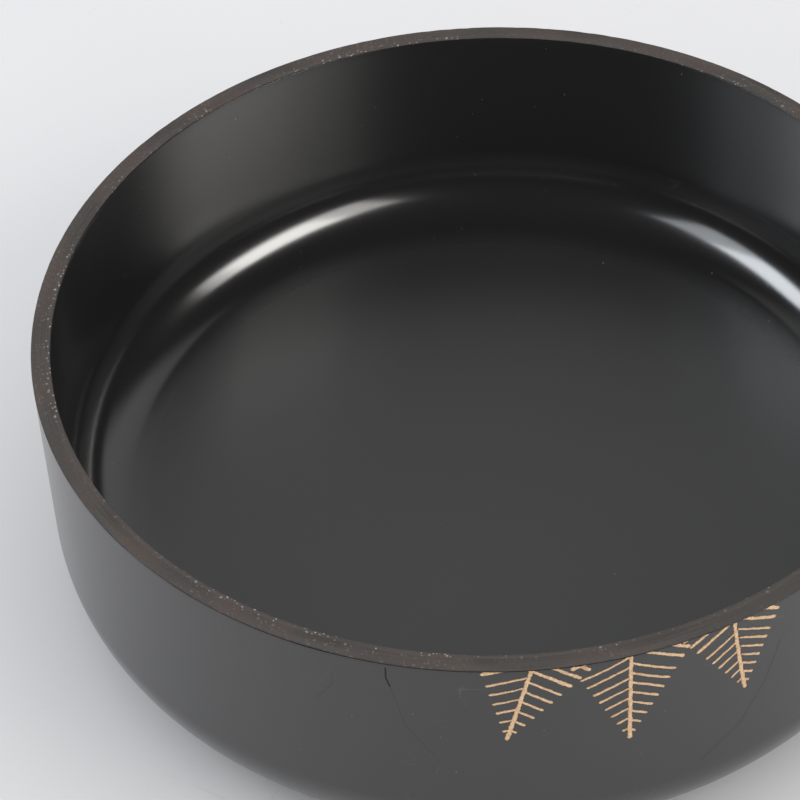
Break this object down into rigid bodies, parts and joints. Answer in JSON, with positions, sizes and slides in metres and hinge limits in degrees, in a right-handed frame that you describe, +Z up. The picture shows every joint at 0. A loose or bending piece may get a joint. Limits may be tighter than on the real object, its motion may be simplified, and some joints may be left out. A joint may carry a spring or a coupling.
{
  "type": "lacquered bowl",
  "caption": "Shallow round black lacquered bowl with a straight wall, rounded bottom corner, bare brown rim, low foot ring and painted gold fern sprigs under the rim.",
  "frame": {"origin": "centre of the resting plane, under the middle of the bowl", "axes": "+Z up along the bowl's turning axis, and the painted sprigs face -Y"},
  "size_m": [0.18, 0.1801, 0.06],
  "materials": {
    "core": "bare, sanded flat, matt",
    "black_lacquer": "glossy black lacquer with fine scratches",
    "gold_paint": "brush-painted gold powder, satin"
  },
  "bodies": {
    "root": {"turned_core": "core", "inner_lacquer": "black_lacquer", "outer_lacquer": "black_lacquer", "foot_lacquer": "black_lacquer", "left_sprig_stem": "gold_paint", "left_sprig_left_barbs": "gold_paint", "left_sprig_right_barbs": "gold_paint", "middle_sprig_stem": "gold_paint", "middle_sprig_left_barbs": "gold_paint", "middle_sprig_right_barbs": "gold_paint", "right_sprig_stem": "gold_paint", "right_sprig_left_barbs": "gold_paint", "right_sprig_right_barbs": "gold_paint"}
  },
  "joints": []
}
